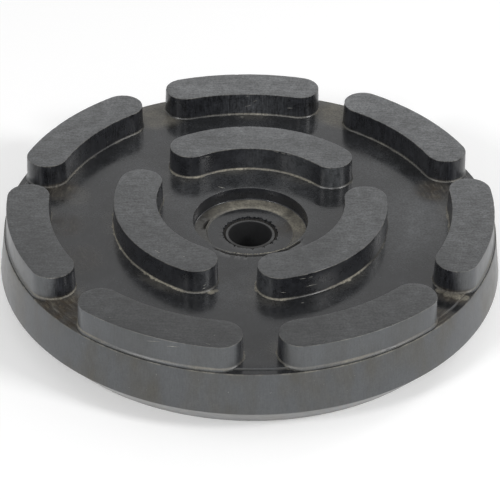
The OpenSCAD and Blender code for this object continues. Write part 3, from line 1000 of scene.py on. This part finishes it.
def scuffTree():
    # lays one sliver on every mark and scatters small ones over the worn tops and the outer wall
    tree = bpy.data.node_groups.new("scuffScatter", "GeometryNodeTree")
    for name, kind in (
            ("Marks", "NodeSocketGeometry"), ("Pad", "NodeSocketObject"), ("Density", "NodeSocketFloat"),
                       ("Seed", "NodeSocketInt"), ("Width", "NodeSocketFloat"), ("Height", "NodeSocketFloat"),
                       ("Finish", "NodeSocketMaterial")):
        tree.interface.new_socket(name, in_out="INPUT", socket_type=kind)
    tree.interface.new_socket("Scuffs", in_out="OUTPUT", socket_type="NodeSocketGeometry")
    given = addNode(tree, "NodeGroupInput").outputs
    sliver = addNode(tree, "GeometryNodeMeshIcoSphere", {"Radius": 0.5, "Subdivisions": 1})
    aim = addNode(tree, "GeometryNodeInputNamedAttribute", {"Name": "aim"}, data_type="FLOAT_VECTOR")
    facing = addNode(tree, "GeometryNodeInputNamedAttribute", {"Name": "facing"}, data_type="FLOAT_VECTOR")
    stretch = addNode(tree, "GeometryNodeInputNamedAttribute", {"Name": "stretch"}, data_type="FLOAT_VECTOR")
    upright = addNode(tree, "FunctionNodeAlignRotationToVector", {"Vector": facing}, axis="Z")
    turned = addNode(
        tree, "FunctionNodeAlignRotationToVector", {"Rotation": upright, "Vector": aim}, axis="X",
        pivot_axis="Z"
    )
    marks = addNode(tree, "GeometryNodeInstanceOnPoints",
                    {"Points": given["Marks"], "Instance": sliver, "Rotation": turned, "Scale": stretch})
    ground = addNode(tree, "GeometryNodeObjectInfo", {"Object": given["Pad"]})
    position = addNode(tree, "GeometryNodeInputPosition")
    height = addNode(tree, "ShaderNodeSeparateXYZ", {0: position}).outputs["Z"]
    level = addNode(tree, "ShaderNodeSeparateXYZ", {0: addNode(tree, "GeometryNodeInputNormal")}).outputs["Z"]
    high = addNode(tree, "FunctionNodeCompare", {0: height, 1: 28.9 * mm}, operation="GREATER_THAN")
    flatEnough = addNode(tree, "FunctionNodeCompare", {0: level, 1: 0.98}, operation="GREATER_THAN")
    onTops = addNode(tree, "FunctionNodeBooleanMath", {0: high, 1: flatEnough}, operation="AND")
    across = addNode(tree, "ShaderNodeVectorMath", {0: position, 1: (1.0, 1.0, 0.0)}, operation="MULTIPLY")
    reach = addNode(tree, "ShaderNodeVectorMath", {0: across}, operation="LENGTH").outputs["Value"]
    farOut = addNode(tree, "FunctionNodeCompare", {0: reach, 1: 73.6 * mm}, operation="GREATER_THAN")
    aboveBevel = addNode(tree, "FunctionNodeCompare", {0: height, 1: 11 * mm}, operation="GREATER_THAN")
    onWall = addNode(tree, "FunctionNodeBooleanMath", {0: farOut, 1: aboveBevel}, operation="AND")
    either = addNode(tree, "FunctionNodeBooleanMath", {0: onTops, 1: onWall}, operation="OR")
    seats = addNode(tree, "GeometryNodeDistributePointsOnFaces",
                    {
                        "Mesh": ground.outputs["Geometry"], "Selection": either,
                        "Density": given["Density"], "Seed": given["Seed"]
                    })
    spin = addNode(
        tree, "FunctionNodeRandomValue", {2: 0.0, 3: 2 * math.pi, "Seed": given["Seed"]}, data_type="FLOAT"
    )
    around = addNode(tree, "FunctionNodeAxisAngleToRotation", {"Axis": (0, 0, 1), "Angle": spin.outputs[1]})
    lying = addNode(
        tree, "FunctionNodeRotateRotation", {0: seats.outputs["Rotation"], 1: around},
        rotation_space="LOCAL"
    )
    length = addNode(
        tree, "FunctionNodeRandomValue", {2: 0.1 * mm, 3: 0.7 * mm, "Seed": 11}, data_type="FLOAT"
    )
    size = addNode(
        tree, "ShaderNodeCombineXYZ", {"X": length.outputs[1], "Y": given["Width"], "Z": given["Height"]}
    )
    chance = addNode(tree, "GeometryNodeInstanceOnPoints",
                     {
                         "Points": seats.outputs["Points"], "Instance": sliver, "Rotation": lying,
                         "Scale": size
                     })
    together = addNode(tree, "GeometryNodeJoinGeometry")
    tree.links.new(marks.outputs[0], together.inputs[0])
    tree.links.new(chance.outputs[0], together.inputs[0])
    solid = addNode(tree, "GeometryNodeRealizeInstances", {"Geometry": together})
    finished = addNode(tree, "GeometryNodeSetMaterial", {"Geometry": solid, "Material": given["Finish"]})
    addNode(tree, "NodeGroupOutput", {"Scuffs": finished})
    return tree


def scuffMaterial(s):
    # freshly lifted rubber: paler than the skin and a little shiny at the crest
    material = bpy.data.materials.new("liftedRubber")
    material.use_nodes = True
    tree = material.node_tree
    tree.nodes.clear()
    coords = addNode(tree, "ShaderNodeTexCoord")
    speckle = addNode(
        tree, "ShaderNodeTexNoise", {"Vector": coords.outputs["Object"], "Scale": 700.0, "Detail": 2.0}
    )
    tone = addNode(
        tree, "ShaderNodeMapRange",
        {"Value": speckle, "From Min": 0.35, "From Max": 0.65, "To Min": 0.4, "To Max": 1.25}
    )
    colour = addNode(
        tree, "ShaderNodeMix", {0: 1.0, 6: linearColour(s["colour"]), 7: tone}, data_type="RGBA",
        blend_type="MULTIPLY"
    )
    shader = addNode(
        tree, "ShaderNodeBsdfPrincipled", {"Base Color": colour.outputs[2], "Roughness": s["roughness"]}
    )
    addNode(tree, "ShaderNodeOutputMaterial", {"Surface": shader})
    return material


scuffs = buildMarks(scuffSetup, pad)
runTree(scuffs, scuffTree(), {
    "Pad": pad, "Density": scuffSetup["density"], "Seed": scuffSetup["seed"],
    "Width": scuffSetup["width"] * 0.4 * mm,
    "Height": scuffSetup["height"] * 0.5 * mm, "Finish": scuffMaterial(scuffSetup),
})
scuffs.data.shade_smooth()
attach(scuffs, "root")
print("scuffs laid:", len(scuffs.data.polygons), "faces")


# Stage: a pale floor, a white surround and soft lamps
stageSetup = {
    "floorSize": 3.0,
    "floorColour": "#f4f4f4",
    "surround": 0.45,
    "lampSize": 0.28,
    "lamps": [
        {"name": "frontLeftSoftbox", "place": (-0.75, -0.77, 0.75), "watts": 5.0},
        {"name": "frontRightSoftbox", "place": (0.97, -0.48, 0.75), "watts": 7.2},
        {"name": "frontSoftbox", "place": (0.0, -1.1, 0.9), "watts": 2.5},
        {"name": "backRightSoftbox", "place": (0.85, 0.75, 0.75), "watts": 2.0},
    ],
}


def buildStage(s):
    half = s["floorSize"] / 2 / mm
    floor = meshObject(
        "floor", [(-half, -half, 0), (half, -half, 0), (half, half, 0), (-half, half, 0)], [(0, 1, 2, 3)]
    )
    paint = bpy.data.materials.new("matteFloor")
    paint.use_nodes = True
    tree = paint.node_tree
    tree.nodes.clear()
    # the rubber mirrors the floor as plain white; the camera sees the painted floor with the shadow
    rays = addNode(tree, "ShaderNodeLightPath")
    painted = addNode(tree, "ShaderNodeBsdfDiffuse", {"Color": linearColour(s["floorColour"])})
    lift = addNode(tree, "ShaderNodeMath", {0: rays.outputs["Is Camera Ray"], 1: 0.17}, operation="MULTIPLY")
    glow = addNode(tree, "ShaderNodeEmission", {"Color": (1, 1, 1, 1), "Strength": lift})
    lit = addNode(tree, "ShaderNodeAddShader", {0: painted, 1: glow})
    white = addNode(tree, "ShaderNodeEmission", {"Color": (1, 1, 1, 1), "Strength": 1.0})
    coords = addNode(tree, "ShaderNodeTexCoord")
    away = addNode(tree, "ShaderNodeVectorMath", {0: coords.outputs["Object"]}, operation="LENGTH")
    clearFloor = addNode(
        tree, "ShaderNodeMapRange", {"Value": away.outputs["Value"], "From Min": 0.066, "From Max": 0.07}
    )
    mirrored = addNode(
        tree, "ShaderNodeMath", {0: rays.outputs["Is Glossy Ray"], 1: clearFloor}, operation="MULTIPLY"
    )
    seen = addNode(tree, "ShaderNodeMixShader", {0: mirrored, 1: lit, 2: white})
    addNode(tree, "ShaderNodeOutputMaterial", {"Surface": seen})
    floor.data.materials.append(paint)
    world = bpy.data.worlds.new("paleRoom")
    world.use_nodes = True
    tree = world.node_tree
    tree.nodes.clear()
    rays = addNode(tree, "ShaderNodeLightPath")
    either = addNode(
        tree, "ShaderNodeMath", {0: rays.outputs["Is Camera Ray"], 1: rays.outputs["Is Glossy Ray"]},
        operation="MAXIMUM"
    )
    strength = addNode(tree, "ShaderNodeMapRange", {"Value": either, "To Min": s["surround"], "To Max": 1.0})
    back = addNode(tree, "ShaderNodeBackground", {"Color": (1, 1, 1, 1), "Strength": strength})
    addNode(tree, "ShaderNodeOutputWorld", {"Surface": back})
    scene.world = world
    for lamp in s["lamps"]:
        data = bpy.data.lights.new(lamp["name"], "AREA")
        data.shape = "SQUARE"
        data.size = s["lampSize"]
        data.energy = lamp["watts"]
        light = bpy.data.objects.new(lamp["name"], data)
        light.location = lamp["place"]
        light.rotation_euler = (-Vector(lamp["place"])).to_track_quat("-Z", "Y").to_euler()
        scene.collection.objects.link(light)


buildStage(stageSetup)
scene.view_settings.view_transform = "Standard"
print("stage set")
